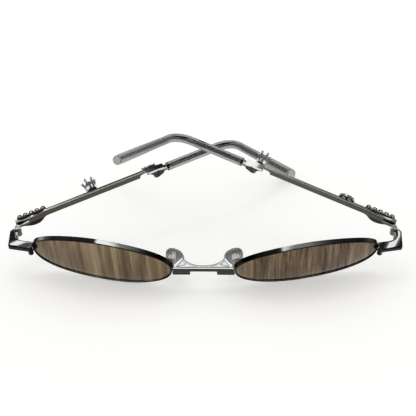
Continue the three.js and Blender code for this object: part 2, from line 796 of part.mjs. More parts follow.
// A round brilliant stone, girdle at z = 0
function stoneGeometry(radius) {
  const profile = [
    [0, -radius * 0.7], [radius, 0], [radius, radius * 0.12], [radius * 0.6, radius * 0.4], [0, radius * 0.4],
  ].map(([r, z]) => new THREE.Vector2(r, z));
  return new THREE.LatheGeometry(profile, prongSideCount + 2).rotateX(Math.PI / 2);
}

// The stone just fits between the prongs at its own height
function stoneRadius(radius) {
  return radius * (prongFootShare + (1 - prongFootShare) * girdleShare) - prongRadius - 2 * seatGap;
}

// The flat openwork clasp: a pointed frame with two round windows
function claspGeometry() {
  const shape = new THREE.Shape();
  shape.moveTo(-claspHalfLength, 0);
  shape.quadraticCurveTo(-claspHalfLength * claspCurveShare, claspHalfHeight, 0, claspHalfHeight);
  shape.quadraticCurveTo(claspHalfLength * claspCurveShare, claspHalfHeight, claspHalfLength, 0);
  shape.quadraticCurveTo(claspHalfLength * claspCurveShare, -claspHalfHeight, 0, -claspHalfHeight);
  shape.quadraticCurveTo(-claspHalfLength * claspCurveShare, -claspHalfHeight, -claspHalfLength, 0);
  const windows = [-1, 1].map((side) => post(claspWindowRadius, -cutOverrun, claspThickness + cutOverrun,
    side * claspWindowReach, 0));
  const geometry = cut(raised(shape, 0, claspThickness, 0, 5), ...windows);
  return sideOn(geometry.translate(claspPlace, claspZ, 0), barOuter + seatGap);
}

// Nose pads
// In the pad's own axes: y towards the nose, z up, with the rocking pin along x through the origin
function padGeometry() {
  const signed = (value, exponent) => Math.sign(value) * Math.abs(value) ** (2 / exponent);
  const rings = [];
  for (let i = 1; i < padRingCount; i += 1) {
    const rise = Math.PI * (i / padRingCount - 0.5);
    const wide = signed(Math.cos(rise), padExponent);
    rings.push(Array.from({ length: padSideCount }, (_, j) => {
      const turn = 2 * Math.PI * j / padSideCount;
      return new THREE.Vector3(padHalfWidth * wide * signed(Math.cos(turn), padExponent),
        padHalfThickness * wide * Math.sin(turn), padHalfHeight * signed(Math.sin(rise), padExponent));
    }));
  }
  const plate = skin(rings, false).translate(0, padLugReach + padHalfThickness * 0.8, -padDrop);
  const lug = block(-padLugWidth / 2, padLugWidth / 2, -padPinRadius * 2, padLugReach + padHalfThickness / 2,
    -padPinRadius * 2.2, padPinRadius * 2.2);
  return cut(join(plate, lug), pinBore(padLugWidth));
}

function pinBore(width) {
  const radius = padPinRadius + hingeClearance;
  return new THREE.CylinderGeometry(radius, radius, width + 2 * cutOverrun, barrelSideCount).rotateZ(Math.PI / 2);
}

function padBoxGeometry() {
  const back = -padPinRadius * 2 - wireClearance;
  const wall = (padBoxWidth - padSlotWidth) / 2;
  const body = block(-padBoxWidth / 2, padBoxWidth / 2, back - wall, back - wall + padBoxDepth,
    -padBoxHeight / 2, padBoxHeight / 2);
  const slot = block(-padSlotWidth / 2, padSlotWidth / 2, back, back + padBoxDepth + cutOverrun,
    -padBoxHeight / 2 - cutOverrun, padBoxHeight / 2 + cutOverrun);
  return cut(body, slot, pinBore(padBoxWidth));
}

function padPinGeometry() {
  return new THREE.CylinderGeometry(padPinRadius, padPinRadius, padBoxWidth, barrelSideCount).rotateZ(Math.PI / 2);
}

// A wire that bows back from behind the rim to the back of the pad box
function padArmGeometry() {
  const pad = placePad(new THREE.Group());
  pad.updateMatrix();
  const back = -padPinRadius * 2 - wireClearance - (padBoxWidth - padSlotWidth) / 2 - seatGap;
  const end = new THREE.Vector3(0, back, 0).applyMatrix4(pad.matrix);
  const before = new THREE.Vector3(0, back - padArmRadius, 0).applyMatrix4(pad.matrix);
  const rim = placeRim(new THREE.Group());
  rim.updateMatrix();
  const root = new THREE.Vector3(noseHalfGap + padArmInset, noseTipY + rimDepth, padArmRootZ);
  const local = root.clone().applyMatrix4(rim.matrix.clone().invert());
  local.y = bow(local.x, local.z) + rimDepth + seatGap + padArmRadius * 0.2;
  root.copy(local).applyMatrix4(rim.matrix);
  const over = new THREE.Vector3(root.x + padArmBow / 3, root.y + padArmBow, root.z - padArmBow / 4);
  const path = new THREE.CatmullRomCurve3([root, over, before, end]);
  const section = new THREE.Shape().absarc(0, 0, padArmRadius, 0, 2 * Math.PI);
  return new THREE.ExtrudeGeometry(section, { steps: armStepCount, curveSegments: 4, extrudePath: path });
}

function placePad(target) {
  target.position.set(padX, padY, padZ);
  target.rotation.set(rad(-padLeanAngle), 0, rad(padSplayAngle), 'ZXY');
  return target;
}

// Assembly
function frontHalf(name, side) {
  const half = new THREE.Group();
  half.rotation.x = side * rad(frontTwistAngle);
  half.scale.x = side;
  half.add(placeRim(part(`${name}_rim`, rimGeometry(), chrome)));
  half.add(placeRim(part(`${name}_lens`, lensGeometry(), lensTint)));
  half.add(part(`${name}_end_piece`, endPieceGeometry(), chrome));
  half.add(part(`${name}_closing_block`, closingBlockGeometry(), chrome));
  const screw = part(`${name}_closing_screw`, slottedScrew(closingScrewRadius, closingBarrelRadius * 0.85,
    closingScrewHead, closingBarrelHeight + endHeight / 4), chrome);
  screw.rotation.x = Math.PI;
  screw.position.set(closingBarrelX, closingBarrelY, endBottom - closingBarrelHeight - 2 * seatGap);
  half.add(screw);
  half.add(part(`${name}_front_leaf`, frontLeafGeometry(), chrome));
  const pin = part(`${name}_hinge_screw`, slottedScrew(pinRadius, screwHeadRadius, screwHeadHeight,
    knuckleTop - knuckleBottom), chrome);
  pin.position.set(pinX, pinY, pinZ + knuckleTop + hingeClearance);
  half.add(pin);
  half.add(part(`${name}_pad_arm`, padArmGeometry(), chrome));
  half.add(placePad(part(`${name}_pad_box`, padBoxGeometry(), chrome)));
  half.add(placePad(part(`${name}_pad_pin`, padPinGeometry(), chrome)));
  half.add(placePad(part(`${name}_nose_pad`, padGeometry(), greyPad)));
  return half;
}

// A claw setting and its stone, standing out from the temple at a place along it
function addClaw(arm, name, radius, height, [along, up, outwards]) {
  const setting = part(`${name}_setting`, clawGeometry(radius, height), chrome);
  const stone = part(`${name}_stone`, stoneGeometry(stoneRadius(radius)), stoneTeal);
  for (const [mesh, rise] of [[setting, 0], [stone, height * girdleShare]]) {
    mesh.rotation.y = Math.PI / 2;
    mesh.position.set(outwards + rise, along, up);
    arm.add(mesh);
  }
}

function temple(name, side, fold, tilt) {
  const turn = new THREE.Group();
  turn.position.set(pinX, pinY, pinZ);
  turn.rotation.z = rad(90 - fold);
  turn.add(part(`${name}_temple_leaf`, templeLeafGeometry(), chrome));
  const arm = new THREE.Group();
  arm.rotation.x = rad(tilt);
  turn.add(arm);
  arm.add(part(`${name}_temple_bar`, barGeometry(), chrome));
  arm.add(part(`${name}_scroll_plaque`, scrollPlaqueGeometry(), chrome));
  arm.add(part(`${name}_ferrule`, ferruleGeometry(), chrome));
  arm.add(part(`${name}_core_wire`, wireGeometry(), chrome));
  arm.add(part(`${name}_tip_sleeve`, sleeveGeometry(), clearPlastic));
  if (side < 0) {
    arm.add(part(`${name}_ferrule_cluster`, clusterGeometry(), chrome));
    addClaw(arm, `${name}_crown`, crownRadius, crownHeight, [crownPlace, crownZ, barOuter + seatGap]);
  } else {
    arm.add(part(`${name}_openwork_clasp`, claspGeometry(), chrome));
    addClaw(arm, `${name}_claw`, settingRadius, settingHeight, [ferruleStart + settingAhead, settingZ,
      wireOut + ferruleHalfThickness + seatGap]);
  }
  return turn;
}

const glasses = new THREE.Group();
glasses.add(part('bridge', bridgeGeometry(), chrome));
const leftHalf = frontHalf('left', -1);
leftHalf.add(temple('left', -1, leftFoldAngle, -templeTiltAngle));
glasses.add(leftHalf);
const rightHalf = frontHalf('right', 1);
rightHalf.add(temple('right', 1, rightFoldAngle, templeTiltAngle));
glasses.add(rightHalf);

// Lays the glasses down: both rims and the lower temple tip touch the surface
function lowestPoint(names) {
  const point = new THREE.Vector3();
  let low = Infinity;
  glasses.updateMatrixWorld(true);
  glasses.traverse((mesh) => {
    if (!mesh.isMesh || !names.includes(mesh.name)) return;
    const position = mesh.geometry.attributes.position;
    for (let i = 0; i < position.count; i += 1) {
      low = Math.min(low, point.fromBufferAttribute(position, i).applyMatrix4(mesh.matrixWorld).z);
    }
  });
  return low;
}

function level(apply, one, other, low, high) {
  let [from, to] = [low, high];
  for (let i = 0; i < 30; i += 1) {
    const middle = (from + to) / 2;
    apply(middle);
    if (lowestPoint(one) > lowestPoint(other)) from = middle;
    else to = middle;
  }
}

for (let round = 0; round < 3; round += 1) {
  level((lean) => { glasses.rotation.x = lean; }, ['left_rim', 'right_rim'], ['left_tip_sleeve'], 0, Math.PI / 3);
  level((roll) => { glasses.rotation.y = roll; }, ['left_rim'], ['right_rim'], Math.PI / 60, -Math.PI / 60);
}

// The origin is at the middle of the footprint, on the surface
glasses.updateMatrixWorld(true);
const box = new THREE.Box3().setFromObject(glasses, true);
glasses.position.set(-(box.min.x + box.max.x) / 2, -(box.min.y + box.max.y) / 2, -box.min.z);

const group = new THREE.Group();
group.add(glasses);
export default group;
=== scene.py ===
import json
import math

import bmesh
import bpy
import numpy as np
from mathutils import Matrix, Vector

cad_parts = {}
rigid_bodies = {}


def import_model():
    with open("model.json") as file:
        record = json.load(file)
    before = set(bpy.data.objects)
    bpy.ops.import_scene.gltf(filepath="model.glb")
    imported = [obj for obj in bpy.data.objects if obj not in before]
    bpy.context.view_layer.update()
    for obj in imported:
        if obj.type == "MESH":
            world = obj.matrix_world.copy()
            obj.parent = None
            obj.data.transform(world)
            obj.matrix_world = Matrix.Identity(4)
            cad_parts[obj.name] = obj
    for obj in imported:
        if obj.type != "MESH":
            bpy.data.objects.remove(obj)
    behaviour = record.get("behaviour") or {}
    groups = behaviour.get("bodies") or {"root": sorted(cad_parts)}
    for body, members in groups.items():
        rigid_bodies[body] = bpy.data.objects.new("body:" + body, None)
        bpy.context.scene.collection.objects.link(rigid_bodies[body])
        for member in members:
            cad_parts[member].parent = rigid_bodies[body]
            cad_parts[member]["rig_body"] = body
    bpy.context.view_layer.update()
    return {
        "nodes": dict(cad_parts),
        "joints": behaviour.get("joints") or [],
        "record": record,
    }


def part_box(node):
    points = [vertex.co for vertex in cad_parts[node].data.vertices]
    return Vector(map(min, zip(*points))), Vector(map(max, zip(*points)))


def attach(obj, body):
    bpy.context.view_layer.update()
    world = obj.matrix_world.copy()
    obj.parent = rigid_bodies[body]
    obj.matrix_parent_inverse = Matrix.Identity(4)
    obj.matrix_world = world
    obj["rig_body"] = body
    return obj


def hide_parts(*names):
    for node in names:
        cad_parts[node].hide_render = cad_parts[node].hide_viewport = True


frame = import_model()

MM = 0.001

# The two sides of the picture, with the way that each lies along x
SIDES = {"left": -1, "right": 1}

# Sizes of the front and the temples, in millimetres and degrees, as the part has them. The hinge's point lies
# SCREW_RISE above a temple's origin, and the straight bar reaches down to BAR_LOW.
BRIDGE_FRONT = Vector((0, -1.5, 1.525))
NOSE_HALF_GAP = 11
SCREW_RISE = 1.56
BAR_LOW = -0.15
FOLD = {"left": 28.7, "right": 25.7}
TILT = {"left": -1.4, "right": 1.4}

# Camera, fitted to the photograph in the front's own axes (millimetres and degrees). CAM_SCALE is in pixels
# to the millimetre at the target, and CAM_CLIP in metres.
CAM_ELEVATION, CAM_AZIMUTH, CAM_ROLL = 55.018, -3.338, -2.529
CAM_DISTANCE = 420.79
CAM_TARGET = Vector((1.3995, 18.834, 10.4997))
CAM_SCALE = 2.83
CAM_CLIP = 0.01, 20
IMAGE_SIZE = 416
SENSOR = 36


# Places, worked out from the frame's own mounts and joints
def basis(x, y, z, origin):
    return Matrix((
        (x.x, y.x, z.x, origin.x),
        (x.y, y.y, z.y, origin.y),
        (x.z, y.z, z.z, origin.z),
        (0, 0, 0, 1)))


def joint_named(name):
    return next(joint for joint in frame["joints"] if joint["name"] == name)


def front_axes():
    """The front's own axes: x to the wearer's left, y back, z up the lenses."""
    mounts = {m["name"]: m for m in frame["record"]["mounts"]}
    x = Vector(mounts["right_end_face"]["axis"]).normalized()
    y = -Vector(mounts["bridge_front_face"]["axis"]).normalized()
    z = x.cross(y).normalized()
    turn = basis(x, y, z, Vector((0, 0, 0)))
    origin = Vector(mounts["bridge_front_face"]["pos_m"]) - turn @ (BRIDGE_FRONT * MM)
    return Matrix.Translation(origin) @ turn


def temple_axes(side):
    """A temple's own axes at rest: x outwards, y along the bar, z up, the hinge pin at the origin."""
    joint = joint_named(f"{side}_temple_fold")
    up = Vector(joint["axis"]).normalized()
    if up.z < 0:
        up = -up
    across = ROOT.to_3x3() @ Vector((1, 0, 0))
    back = up.cross(across).normalized()
    out = across * SIDES[side]
    turn = math.radians(90 - FOLD[side])
    x = out * math.cos(turn) + back * math.sin(turn)
    y = back * math.cos(turn) - out * math.sin(turn)
    tilt = math.radians(TILT[side])
    along = y * math.cos(tilt) + up * math.sin(tilt)
    rise = up * math.cos(tilt) - y * math.sin(tilt)
    return basis(x, along, rise, Vector(joint["pos_m"]) - up * SCREW_RISE * MM)


ROOT = front_axes()
TEMPLE = {side: temple_axes(side) for side in SIDES}


def make_camera():
    elevation, azimuth, roll = (math.radians(angle) for angle in (CAM_ELEVATION, CAM_AZIMUTH, CAM_ROLL))
    level = math.cos(elevation)
    forward = Vector((math.sin(azimuth) * level, math.cos(azimuth) * level, -math.sin(elevation)))
    right = Vector((math.cos(azimuth), -math.sin(azimuth), 0))
    up = right.cross(forward)
    side = right * math.cos(roll) + up * math.sin(roll)
    top = up * math.cos(roll) - right * math.sin(roll)
    place = (CAM_TARGET - forward * CAM_DISTANCE) * MM
    data = bpy.data.cameras.new("camera")
    data.sensor_width = SENSOR
    data.lens = CAM_DISTANCE * CAM_SCALE / IMAGE_SIZE * SENSOR
    data.clip_start, data.clip_end = CAM_CLIP
    camera = bpy.data.objects.new("camera", data)
    bpy.context.scene.collection.objects.link(camera)
    camera.matrix_world = ROOT @ basis(side, top, -forward, place)
    bpy.context.scene.camera = camera


make_camera()

# Materials

# Most values of a noise texture lie between these two
NOISE_LOW, NOISE_HIGH = 0.3, 0.7

# How deep a bump of full strength is, in metres
BUMP_DEPTH = 0.0001


class Nodes:
    """A short way to build a node tree."""

    def __init__(self, tree):
        self.tree = tree
        tree.nodes.clear()

    def add(self, kind, inputs=None, **values):
        node = self.tree.nodes.new(kind)
        for key, value in values.items():
            setattr(node, key, value)
        for key, value in (inputs or {}).items():
            node.inputs[key].default_value = value
        return node

    def link(self, source, target):
        self.tree.links.new(source, target)

    def feed(self, source, socket):
        """Links a source to a socket, or sets the socket where the source is a number or a colour."""
        if isinstance(source, (int, float)):
            socket.default_value = source
        elif isinstance(source, tuple):
            socket.default_value = (*source, 1)
        else:
            self.link(source, socket)

    def ramp(self, source, stops):
        node = self.add("ShaderNodeValToRGB")
        elements = node.color_ramp.elements
        while len(elements) < len(stops):
            elements.new(0.5)
        for element, (place, colour) in zip(elements, stops):
            element.position = place
            element.color = (*colour, 1)
        self.link(source, node.inputs["Fac"])
        return node.outputs["Color"]

    def noise(self, scale, detail, stretch=(1, 1, 1), turn=(0, 0, 0), roughness=0.5):
        place = self.add("ShaderNodeTexCoord")
        mapping = self.add("ShaderNodeMapping", {"Scale": stretch, "Rotation": turn})
        texture = self.add("ShaderNodeTexNoise", {"Scale": scale, "Detail": detail, "Roughness": roughness})
        self.link(place.outputs["Object"], mapping.inputs["Vector"])
        self.link(mapping.outputs["Vector"], texture.inputs["Vector"])
        return texture.outputs["Fac"]

    def spread(self, noise, low, high):
        """Spreads a noise over the values from low to high."""
        node = self.add("ShaderNodeMapRange", {
            "From Min": NOISE_LOW, "From Max": NOISE_HIGH, "To Min": low, "To Max": high})
        self.link(noise, node.inputs["Value"])
        return node.outputs["Result"]

    def clouds(self, noise, low, high):
        """Spreads a noise over the colours from low to high."""
        return self.ramp(noise, [(NOISE_LOW, low), (NOISE_HIGH, high)])

    def bump(self, source, strength):
        node = self.add("ShaderNodeBump", {"Strength": strength, "Distance": BUMP_DEPTH})
        self.link(source, node.inputs["Height"])
        return node.outputs["Normal"]

    def mix(self, factor, one, other, blend="MIX"):
        """Mixes two colours, whose sockets on the mix node are the ones numbered 6 and 7."""
        node = self.add("ShaderNodeMix", data_type="RGBA", blend_type=blend)
        for source, socket in ((factor, 0), (one, 6), (other, 7)):
            self.feed(source, node.inputs[socket])
        return node.outputs[2]

    def combine(self, operation, first, *others):
        """Runs a sum, a product or the like over two or more numbers."""
        for other in others:
            node = self.add("ShaderNodeMath", operation=operation)
            self.feed(first, node.inputs[0])
            self.feed(other, node.inputs[1])
            first = node.outputs[0]
        return first

    def soft_step(self, source, dark, lit):
        """Zero up to the value dark and one from the value lit on, whichever of the two is the smaller."""
        ends = {"From Min": dark, "From Max": lit}
        node = self.add("ShaderNodeMapRange", ends, interpolation_type="SMOOTHSTEP")
        self.link(source, node.inputs["Value"])
        return node.outputs["Result"]

    def axes(self, source):
        """The three parts of a vector."""
        split = self.add("ShaderNodeSeparateXYZ")
        self.link(source, split.inputs["Vector"])
        return [split.outputs[axis] for axis in "XYZ"]


def new_material(name, **settings):
    material = bpy.data.materials.new(name)
    material.use_nodes = True
    nodes = Nodes(material.node_tree)
    shader = nodes.add("ShaderNodeBsdfPrincipled", settings)
    out = nodes.add("ShaderNodeOutputMaterial")
    nodes.link(shader.outputs["BSDF"], out.inputs["Surface"])
    return material, nodes, shader.inputs


# The metals: their fine grain, their tones where they are worn and where they aren't, and the painted
# reflection on faces that look straight down, as a share of the painted leaning tone, which starts at the
# height LEAN_FROM
GRAIN_SCALE, GRAIN_BUMP = 900, 0.03
WORN, UNWORN = (0.86, 0.86, 0.86), (1, 1, 1)
PAINTED_DEEP_SHARE, LEAN_FROM = 0.55, 0.3


def metal_material(name, pale, lean, rough, cloud_scale=180, turns=(0.43, 0.56), metallic=1):
    """Polished metal with a painted reflection in its colour: its own pale tone where it faces up, and a
    dark, warm tone painted where it leans down, as if it mirrored a brown table.

    The colour changes from the painted tone to the pale one between the two turns, which are heights of the
    surface direction: 0 is down and 1 is up.
    """
    material, nodes, shader = new_material(name, Metallic=metallic)
    cloud = nodes.noise(cloud_scale, detail=5)
    facing = nodes.add("ShaderNodeNewGeometry")
    height = nodes.add("ShaderNodeMapRange", {"From Min": -1, "From Max": 1})
    nodes.link(nodes.axes(facing.outputs["Normal"])[2], height.inputs["Value"])
    # Painted reflection: faces that lean down take the dark, warm lean tone, and faces that look straight
    # down take a darker share of it
    painted_deep_tone = tuple(part * PAINTED_DEEP_SHARE for part in lean)
    stops = [(0, painted_deep_tone), (LEAN_FROM, lean), (turns[0], lean), (turns[1], pale)]
    pale_and_painted_tone = nodes.ramp(height.outputs["Result"], stops)
    wear = nodes.clouds(cloud, WORN, UNWORN)
    nodes.link(nodes.mix(1.0, pale_and_painted_tone, wear, "MULTIPLY"), shader["Base Color"])
    nodes.link(nodes.spread(cloud, *rough), shader["Roughness"])
    nodes.link(nodes.bump(nodes.noise(GRAIN_SCALE, detail=3), GRAIN_BUMP), shader["Normal"])
    return material


# The lens's brown is partly its own tint and partly a painted reflection of the brown floor, and its streaks
# are a painted reflection of the floor's fibres. The streaks: where the dark, middle and pale tones lie in
# their noise, how far the broad and the fine streaks are drawn out, the scale of the broad ones' noise as a
# share of the fine ones', and how rough and how raised the fine ones are
STREAK_STOPS = (0.4, 0.5, 0.6)
BROAD_STRETCH, FINE_STRETCH = (1, 0.02, 0.02), (1, 0.05, 0.05)
BROAD_SHARE = 0.35
STREAK_ROUGH, STREAK_BUMP = (0.08, 0.16), 0.04


def lens_material(name, tones, scale, turn, contrast):
    """A brown mirror lens, partly its own tint and partly painted reflection, with broad and fine streaks
    that run up the lens, painted as the reflection of a fibrous floor.
    """
    material, nodes, shader = new_material(name, Metallic=0.9, **{"Coat Weight": 0.1, "Coat Roughness": 0.03})
    lean = (0, turn, 0)
    broad = nodes.noise(scale * BROAD_SHARE, detail=3, stretch=BROAD_STRETCH, turn=lean, roughness=0.6)
    fine = nodes.noise(scale, detail=8, stretch=FINE_STRETCH, turn=lean, roughness=0.75)
    stops = list(zip(STREAK_STOPS, tones))
    nodes.link(nodes.mix(contrast, nodes.ramp(broad, stops), nodes.ramp(fine, stops)), shader["Base Color"])
    nodes.link(nodes.spread(fine, *STREAK_ROUGH), shader["Roughness"])
    nodes.link(nodes.bump(fine, STREAK_BUMP), shader["Normal"])
    return material


# The clear materials: how much they bend light, and the scale of the faint clouds in them
CLEAR_IOR = 1.45
CLEAR_CLOUD_SCALE = 120


def clear_material(name, pale, dull, rough, transmission, bump=0.05, rim=1):
    """Tinted clear plastic or glass, with a painted dark edge: darker by the share rim where it is seen at a
    low angle, as if its edges bent in dark surroundings.
    """
    material, nodes, shader = new_material(name, IOR=CLEAR_IOR, **{"Transmission Weight": transmission})
    cloud = nodes.noise(CLEAR_CLOUD_SCALE, detail=4)
    facing = nodes.add("ShaderNodeLayerWeight", {"Blend": 0.5})
    # Painted shade: edges seen at a low angle darken by the share rim
    edge = nodes.ramp(facing.outputs["Facing"], [(0.3, (1, 1, 1)), (0.7, (rim, rim, rim))])
    nodes.link(nodes.mix(1.0, nodes.clouds(cloud, dull, pale), edge, "MULTIPLY"), shader["Base Color"])
    nodes.link(nodes.spread(cloud, *rough), shader["Roughness"])
    nodes.link(nodes.bump(cloud, bump), shader["Normal"])
    return material


# Each metal's lean tone below is a painted reflection: the brown table and dark room that a face leaning down
# would mirror, painted into its colour
CHROME = metal_material("polished_chrome", pale=(0.86, 0.87, 0.87), lean=(0.088, 0.079, 0.056),
                        rough=(0.05, 0.12), turns=(0.62, 0.82))
# This chrome is pale only on faces that look up; its near-black lean tone is a painted dark reflection
DARK = metal_material("chrome_painted_dark", pale=(0.88, 0.89, 0.89), lean=(0.013, 0.0125, 0.011),
                      rough=(0.03, 0.08), turns=(0.88, 0.95))
CAST = metal_material("cast_chrome", pale=(0.93, 0.94, 0.94), lean=(0.042, 0.04, 0.032),
                      rough=(0.04, 0.1), cloud_scale=320)
WIRE = metal_material("wire_chrome", pale=(0.9, 0.91, 0.91), lean=(0.012, 0.012, 0.011),
                      rough=(0.03, 0.06), turns=(0.56, 0.66))
SILVER = metal_material("bright_silver", pale=(0.92, 0.93, 0.92), lean=(0.11, 0.108, 0.095),
                        rough=(0.08, 0.2), cloud_scale=500, metallic=0.85)
SATIN = metal_material("satin_silver", pale=(0.95, 0.96, 0.95), lean=(0.75, 0.75, 0.72),
                       rough=(0.25, 0.4), cloud_scale=500, metallic=0.3)
LENSES = {
    "left": lens_material(
        "mirror_lens_left", tones=((0.085, 0.056, 0.027), (0.225, 0.16, 0.09), (0.40, 0.31, 0.195)),
        scale=700, turn=-0.06, contrast=0.4),
    "right": lens_material(
        "mirror_lens_right", tones=((0.022, 0.012, 0.005), (0.125, 0.078, 0.036), (0.30, 0.21, 0.12)),
        scale=1100, turn=0.12, contrast=0.6),
}
SLEEVE = clear_material("clear_sleeve", pale=(0.42, 0.43, 0.425), dull=(0.36, 0.37, 0.355),
                        rough=(0.02, 0.05), transmission=1.0, bump=0.01, rim=0.2)
PAD = clear_material("smoky_pad", pale=(0.50, 0.51, 0.49), dull=(0.30, 0.31, 0.30),
                     rough=(0.12, 0.25), transmission=0.6)
STONE = clear_material("teal_stone", pale=(0.35, 0.60, 0.56), dull=(0.10, 0.30, 0.28),
                       rough=(0.02, 0.06), transmission=0.6)


def material_for(name):
    """The material of the piece that stands in for a node."""
    side, _, kind = name.partition("_")
    if kind == "lens":
        return LENSES[side]
    if kind in ("claw_stone", "crown_stone"):
        return STONE
    if kind in ("claw_setting", "crown_setting", "ferrule_cluster", "scroll_plaque", "openwork_clasp",
                "front_leaf", "hinge_screw"):
        return SILVER
    if kind == "pad_box":
        return SATIN
    # Painted dark reflection: rims, end pieces and the closing parts take the dark chrome
    if kind in ("rim", "end_piece", "closing_block", "closing_screw"):
        return DARK
    if name == "bridge" or kind == "ferrule":
        return CAST
    if kind == "core_wire":
        return WIRE
    return {"tip_sleeve": SLEEVE, "nose_pad": PAD}.get(kind, CHROME)


# Pieces

# Rounded edges: their widths in millimetres, the angle in degrees from which an edge is rounded, the one
# below which two faces are one flat, and the gap in metres that is welded
EDGE_WIDTH = {"temple_bar": 0.28, "ferrule": 0.14}
FINE_EDGE = 0.04
SHARP_ANGLE, FLAT_ANGLE = 28, 0.4
WELD_GAP = 1e-6

# The share of a surface's direction that has to point inward on a temple's inner face
INWARD_SHARE = 0.9


def body_of(node):
    return frame["nodes"][node]["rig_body"]


def add_piece(name, mesh, material, body):
    piece = bpy.data.objects.new(name, mesh)
    bpy.context.scene.collection.objects.link(piece)
    mesh.materials.clear()
    mesh.materials.append(material)
    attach(piece, body)
    return piece


def stand_in(node, mesh):
    """A finished piece that takes a node's place, on the node's body."""
    piece = add_piece(f"{node}_finished", mesh, material_for(node), body_of(node))
    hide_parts(node)
    return piece


def write_mesh(work, name):
    """A new mesh from a bmesh, smooth all over."""
    mesh = bpy.data.meshes.new(name)
    for face in work.faces:
        face.smooth = True
    work.to_mesh(mesh)
    work.free()
    return mesh


def welded_copy(node):
    """The node's own shape as a clean mesh, with flat faces whole again."""
    work = bmesh.new()
    work.from_mesh(frame["nodes"][node].data)
    bmesh.ops.remove_doubles(work, verts=work.verts, dist=WELD_GAP)
    bmesh.ops.dissolve_limit(work, angle_limit=math.radians(FLAT_ANGLE), verts=work.verts, edges=work.edges)
    return write_mesh(work, f"{node}_finished")


def apply_modifiers(piece):
    mesh = bpy.data.meshes.new_from_object(piece.evaluated_get(bpy.context.evaluated_depsgraph_get()))
    piece.modifiers.clear()
    piece.data = mesh
    return mesh


def round_edges(piece, width, segments=3, angle=SHARP_ANGLE):
    bevel = piece.modifiers.new("edges", "BEVEL")
    bevel.width = width * MM
    bevel.segments = segments
    bevel.limit_method = "ANGLE"
    bevel.angle_limit = math.radians(angle)


def keep_flats(piece):
    """Shades the rounded edges smoothly and keeps the flats flat."""
    piece.modifiers.new("normals", "WEIGHTED_NORMAL").keep_sharp = False


def paint_drop_reflection(piece, side):
    """Paints a dark reflection on the drop below a temple bar: its inward faces take the dark chrome,
    standing in for the dark rim that its polished inner face mirrors.
    """
    axes = TEMPLE[side]
    up, inward = axes.to_3x3() @ Vector((0, 0, 1)), axes.to_3x3() @ Vector((-1, 0, 0))
    edge = axes @ Vector((0, 0, BAR_LOW * MM))
    mesh = apply_modifiers(piece)
    work = bmesh.new()
    work.from_mesh(mesh)
    bmesh.ops.bisect_plane(work, geom=[*work.verts, *work.edges, *work.faces], plane_co=edge, plane_no=up)
    for face in work.faces:
        below = (face.calc_center_median() - edge).dot(up) < 0
        # Painted reflection: inward faces below the bar's low edge take the dark chrome
        face.material_index = int(below and face.normal.dot(inward) > INWARD_SHARE)
    work.to_mesh(mesh)
    work.free()
    mesh.materials.append(DARK)


# Kinds of piece that are lenses or stones, and kinds whose finished shape is made anew further below
GLASS = ("lens", "claw_stone", "crown_stone")
MADE_ANEW = ("bridge", "end_piece", "tip_sleeve", "core_wire", "nose_pad")


def finish_metal():
    for name in frame["nodes"]:
        side, _, kind = name.partition("_")
        if name in MADE_ANEW or kind in MADE_ANEW + GLASS:
            continue
        piece = stand_in(name, welded_copy(name))
        round_edges(piece, EDGE_WIDTH.get(kind, FINE_EDGE))
        if kind == "temple_bar":
            paint_drop_reflection(piece, side)
        keep_flats(piece)


def finish_glass():
    for name in frame["nodes"]:
        kind = name.partition("_")[2]
        if kind not in GLASS:
            continue
        piece = stand_in(name, welded_copy(name))
        if kind == "lens":
            keep_flats(piece)
        else:
            for polygon in piece.data.polygons:
                polygon.use_smooth = False


# The cast bridge and end pieces, in the front's own axes (millimetres)
BRIDGE_VOXEL, END_VOXEL = 0.16, 0.13
SOFT_ROUNDS, SOFT_SHARE = 9, 0.5

# The bridge: its top and the places of a wing, with how far the curve of the rear edge is pulled out to them
WING_X, WING_TIP, BRIDGE_TOP = NOSE_HALF_GAP - 3.3, 4.1, 2.85
REAR_PULL = 0.76

# The groove along the bridge's rear edge, the hollow in each wing and the ridges across each foot
FLUTE_PLACE, FLUTE_WIDTH, FLUTE_DEPTH = 0.8, 0.17, 0.022
FACET_CORNERS = ((WING_X - 0.36, 1.97), (WING_X - 1.65, 0), (NOSE_HALF_GAP - 1.6, -0.9))
FACET_DEPTH, FACET_MARGIN = 0.04, 0.25
FOOT_TOP, RIDGE_PITCH, RIDGE_DEPTH = -0.3, 1.9, 0.12

# How far below its highest level the bridge's top and its hollows still count as such, and the share of a
# surface's direction that has to point up on a top, or back on a foot
TOP_BAND, HOLLOW_BAND = 0.6, 0.3
BRIDGE_UP, END_UP, FOOT_BACK = 0.7, 0.6, -0.5

# The wave on each end piece: the direction that it runs in, a point on its crest, half its depth and its
# length (millimetres)
END_WAVES = {"left": ((-0.45, 0.89), (-69.5, 9.3), 0.24, 12), "right": ((-0.9, 0.44), (68.0, 9.2), 0.16, 6)}


def rear_edge(count=40):
    """Points along the hollow rear edge of the bridge, from its middle to a wing's tip."""
    share = np.linspace(0, 1, count)
    x = 2 * share * (1 - share) * WING_X * REAR_PULL + share * share * WING_X
    return x, share * share * WING_TIP


def in_facet(x, y, margin):
    """Whether each point lies in the three-cornered hollow of a wing, or within a margin of it."""
    inside = np.ones(len(x), bool)
    for (ax, ay), (bx, by) in zip(FACET_CORNERS, FACET_CORNERS[1:] + FACET_CORNERS[:1]):
        reach = math.hypot(bx - ax, by - ay)
        inside &= ((bx - ax) * (y - ay) - (by - ay) * (x - ax)) / reach > -margin
    return inside


